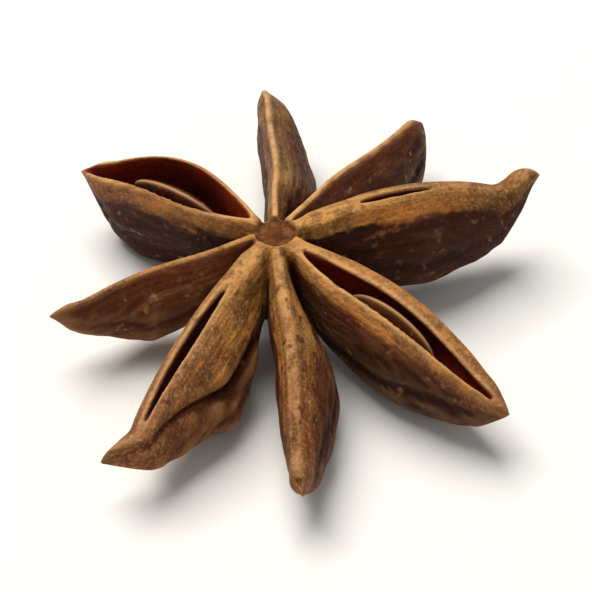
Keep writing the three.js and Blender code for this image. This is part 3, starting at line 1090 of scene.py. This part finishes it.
def flank_colour(look):
    back = times(mask("back"), ease(look["broad"], 0, 1, start=0.5, end=1))
    bloom = times(mask("flecked"), ease(look["small"], 0.6, 1.0))
    # the lower flanks are darkened to purple-brown by painted shade
    deep = ease(uneven(look, mask("deep"), amount=0.15), -0.1, 0.45)
    colour = blend(uneven(look, mask("red"), amount=0.3), OLIVE_BROWN, RED_BROWN)
    colour = lay(colour, BACK_BROWN, back, 0.8)
    colour = lay(colour, PALE, bloom, 0.3)
    return lay(colour, PURPLE_BROWN, deep)


def rind_colour(look):
    crown = ease(uneven(look, mask("crown"), amount=0.4), 0.2, 0.7)
    # the orange band is partly a painted highlight on the upper flank
    orange = ease(uneven(look, mask("orange"), amount=0.3), 0.1, 0.7)
    colour = blend(crown, flank_colour(look), crown_colour(look))
    return lay(colour, ORANGE, orange, 0.7)


print("crown and flank ready")

# %% Wear, painted shade, and the colours inside
# the glazes hold wear, dark fibres and specks, and painted shade in the furrows and along the crease
def wear_and_shade(look, colour):
    """Each glaze is a colour, its mask and its strength."""
    patchy = ease(look["patches"], 0.3, 0.7, start=1, end=0.3)
    glints = ease(look["fine"], 0.55, 1.0)
    glazes = [
        (DARK_MARK_AND_SHADE, ease(look["streaks"], 0.0, 0.6, start=1, end=0), 0.35),
        (DARK_MARK_AND_SHADE, ease(look["threads"], 0.0, 0.7, start=1, end=0), 0.25),
        (DARK_MARK_AND_SHADE, ease(look["fine"], 0.0, 0.45, start=1, end=0), 0.25),
        (TAN, times(glints, mask("crown")), 0.3),
        (OCHRE, times(mask("lip"), patchy), 0.6),
        (TAN, times(mask("seam"), patchy), 0.6),
        (TAN, mask("brim"), 0.9),
        (TAN, mask("edge"), 0.4),
        # painted shade in the furrows
        (DARK_MARK_AND_SHADE, mask("recess"), 0.65),
        # painted shade along the crease
        (DARK_MARK_AND_SHADE, mask("crease"), 0.9),
        (DARK_MARK_AND_SHADE, times(look["dots"], mask("specked")), 0.75),
        (PALE, times(look["flecks"], mask("flecked")), 0.6),
    ]
    for over, share, strength in glazes:
        colour = lay(colour, over, share, strength)
    return colour


def inside_colours(look, colour):
    hub = lay(HUB, DARK_MARK_AND_SHADE, ease(look["small"], 0, 1, start=0.5, end=0))
    lining = lay(LINING, DARK_MARK_AND_SHADE, look["broad"], 0.4)
    # rim: painted shade round the pit
    # slit: painted shade inside the narrow slits
    glazes = [(hub, "hub", 0.95), (DARK_MARK_AND_SHADE, "rim", 0.5), (lining, "lining", 1.0), (DARK_MARK_AND_SHADE, "slit", 0.85)]
    for over, name, strength in glazes:
        colour = lay(colour, over, mask(name), strength)
    return colour


print("wear ready")

# %% Dress the husk
def make_rind():
    material, shader = start_material("rind")
    look = rind_patterns()
    colour = wear_and_shade(look, rind_colour(look))
    link(inside_colours(look, colour), shader.inputs["Base Color"])

    lining, small = mask("lining"), look["small"]
    dull = ease(small, 0, 1, start=0.48, end=0.68)
    link(compute("MULTIPLY_ADD", lining, -0.25, dull), shader.inputs["Roughness"])
    link(compute("MULTIPLY_ADD", lining, 0.35, 0.08), shader.inputs["Specular IOR Level"])
    pores = compute("MULTIPLY_ADD", look["fine"], 0.6, small)
    relief = compute("ADD", look["threads"], pores)
    bump = add_node("ShaderNodeBump", {"Height": relief, "Strength": 0.6, "Distance": 0.07 * MM})
    link(bump.outputs[0], shader.inputs["Normal"])
    return material


husk.data.materials.clear()
husk.data.materials.append(make_rind())
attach(husk, "root")
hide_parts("husk")
print("husk dressed, riding on root")

# %% [markdown]
# ## Seeds
# A seed is a flattened lens with a smooth coat and a paler keel round its edge. It starts as a sphere, gets
# its taper and keel point by point, and is squeezed to its length, thickness and height.

# %% Shape the seeds
SEED_SIDES, SEED_RINGS = 48, 32
KEEL_WIDTH, KEEL_HEIGHT = 0.07, 0.02  # shares of the seed's size
KEEL_STARTS = (0.4, 0.48)  # from the seed's middle, where its edge is at a half


def seed_lens():
    """A sphere one unit across with the seed's taper and keel, and the keel's mask."""
    deselect_all()
    bpy.ops.mesh.primitive_uv_sphere_add(
        segments=SEED_SIDES, ring_count=SEED_RINGS, radius=0.5, rotation=(0, math.pi / 2, 0))
    piece = bpy.context.object
    bpy.ops.object.transform_apply()
    points = points_of(piece)
    points[:, 1:] *= 1 - 2 * SEED["taper"] * points[:, :1]
    keel = bell(points[:, 1], 0, KEEL_WIDTH) * rises(np.hypot(points[:, 0], points[:, 2]), *KEEL_STARTS)
    points[:, 2] *= 1 + KEEL_HEIGHT * keel
    set_points(piece, points)
    return piece, keel


def place_in_carpel(carpel):
    seed = carpel["seed"]
    out = lerp(ROOT, carpel["reach"], seed["at"])
    aside, up = float(bend_at(carpel, seed["at"])[1]), float(seam_height(carpel, seed["at"]))
    upright = Matrix.Translation((0, 0, SEED["height"] / 2))
    leaning = Matrix.Rotation(-math.radians(seed["lean"]), 4, "X")
    lowered = Matrix.Translation((0, 0, -seed["below"] - SEED["height"]))
    rolled = Matrix.Rotation(-math.radians(carpel["roll"]), 4, "X")
    carried = Matrix.Translation((out, aside, up))
    turned = Matrix.Rotation(math.radians(carpel["direction"]), 4, "Z")
    return turned @ carried @ rolled @ lowered @ leaning @ upright


def shape_seed(number, carpel):
    piece, keel = seed_lens()
    mode("EDIT")
    bpy.ops.transform.resize(
        value=(SEED["length"], SEED["thick"], SEED["height"]), center_override=(0, 0, 0))
    mode("OBJECT")
    write_mask(piece, "rim", np.clip(keel, 0, 1))
    piece.matrix_world = place_in_carpel(carpel)
    bpy.ops.object.transform_apply()
    bpy.ops.object.shade_smooth()
    piece.name = f"seed_coat_{number}"
    piece.data.name = piece.name
    to_frame(piece)
    return piece


seed_carpels = [carpel for carpel in CARPELS if "seed" in carpel]
seeds = [shape_seed(number, carpel) for number, carpel in enumerate(seed_carpels, start=1)]
print("seeds:", [(seed.name, len(seed.data.polygons)) for seed in seeds])

# %% Dress the seeds
COAT = srgb(88, 44, 18)
COAT_DARK = srgb(50, 24, 11)
KEEL = srgb(196, 148, 98)


def make_coat():
    material, shader = start_material("seed_coat")
    in_mm = place_in_mm()
    cloud = use_effect(mottle, in_mm, Scale=0.9, Contrast=2.0)
    dust = use_effect(specks, in_mm, Scale=3.0, Level=0.66)
    colour = blend(cloud, COAT, COAT_DARK)
    colour = lay(colour, KEEL, mask("rim"), 0.8)
    colour = lay(colour, PALE, dust, 0.3)
    link(colour, shader.inputs["Base Color"])
    link(compute("MULTIPLY_ADD", cloud, 0.15, 0.4), shader.inputs["Roughness"])
    shader.inputs["Specular IOR Level"].default_value = 0.15
    bump = add_node("ShaderNodeBump", {"Height": cloud, "Strength": 0.3, "Distance": 0.05 * MM})
    link(bump.outputs[0], shader.inputs["Normal"])
    return material


coat = make_coat()
for number, seed in enumerate(seeds, start=1):
    seed.data.materials.append(coat)
    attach(seed, "root")
    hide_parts(f"seed_{number}")
print("seeds dressed, riding on root")

# %% [markdown]
# ## Floor, light and camera
# The pod lies on a plain pale floor under soft light from above. The camera looks down at 45 degrees from
# the side of the long shut carpel, far enough away that the pod isn't drawn out of shape.

# %% Floor
FLOOR_SIZE = 1.2  # metres
FLOOR_COLOURS = (srgb(226, 225, 221), srgb(232, 231, 228))


def make_floor():
    deselect_all()
    bpy.ops.mesh.primitive_plane_add(size=FLOOR_SIZE)
    piece = bpy.context.object
    piece.name = "floor"
    material, shader = start_material("pale_floor")
    place = add_node("ShaderNodeTexCoord").outputs["Object"]
    faint = use_effect(mottle, place, Scale=60.0, Contrast=0.6)
    link(blend(faint, *FLOOR_COLOURS), shader.inputs["Base Color"])
    shader.inputs["Roughness"].default_value = 0.7
    piece.data.materials.append(material)
    piece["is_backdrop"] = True
    return piece


floor = make_floor()
print("floor", round(floor.dimensions.x, 2), "m wide")

# %% Lights
WARM, NEUTRAL = (1.0, 0.97, 0.92), (1.0, 0.99, 0.98)
ROOM_STRENGTH = 0.28


def add_light(name, place, size, energy, colour):
    bpy.ops.object.light_add(type="AREA", location=place)
    lamp = bpy.context.object
    lamp.name = name
    lamp.data.size = size
    lamp.data.energy = energy
    lamp.data.color = colour
    lamp.rotation_euler = (-Vector(place)).to_track_quat("-Z", "Y").to_euler()


add_light("overhead", place=(-0.12, 0.16, 0.42), size=0.35, energy=3.0, colour=WARM)
add_light("front_fill", place=(0.25, -0.4, 0.25), size=0.5, energy=0.4, colour=NEUTRAL)
world = bpy.data.worlds.new("soft_room")
world.use_nodes = True
room = world.node_tree.nodes["Background"]
room.inputs["Color"].default_value = (*NEUTRAL, 1)
room.inputs["Strength"].default_value = ROOM_STRENGTH
bpy.context.scene.world = world
bpy.context.scene.view_settings.view_transform = "Standard"
print("lights in place")

# %% Camera
VIEW_DOWN = math.radians(45)
DISTANCE = 190 * MM
FRAME_WIDTH = 35.34 * MM  # of the view at the column's top
AIM_RIGHT = 1.24 * MM  # the view's centre, from the column's top
AIM_DOWN = 3.96 * MM
SENSOR = 36.0

ahead = Vector((0, math.cos(VIEW_DOWN), -math.sin(VIEW_DOWN)))
up = Vector((0, math.sin(VIEW_DOWN), math.cos(VIEW_DOWN)))
column_top = Vector((*COLUMN_AXIS, STAND)) * MM
aim = column_top + Vector((AIM_RIGHT, 0, 0)) - up * AIM_DOWN
bpy.ops.object.camera_add(location=aim - ahead * DISTANCE, rotation=(math.pi / 2 - VIEW_DOWN, 0, 0))
camera = bpy.context.object
camera.data.sensor_width = SENSOR
camera.data.lens = SENSOR * DISTANCE / FRAME_WIDTH
camera.data.clip_start = DISTANCE / 100
bpy.context.scene.camera = camera
print("lens", round(camera.data.lens, 1), "mm")

# %% Compare the boxes and finish
dressed_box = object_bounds()
for corner, cad_corner in zip(dressed_box, cad_box):
    print("box corner, mm:", millimetres(corner), "was", millimetres(cad_corner))
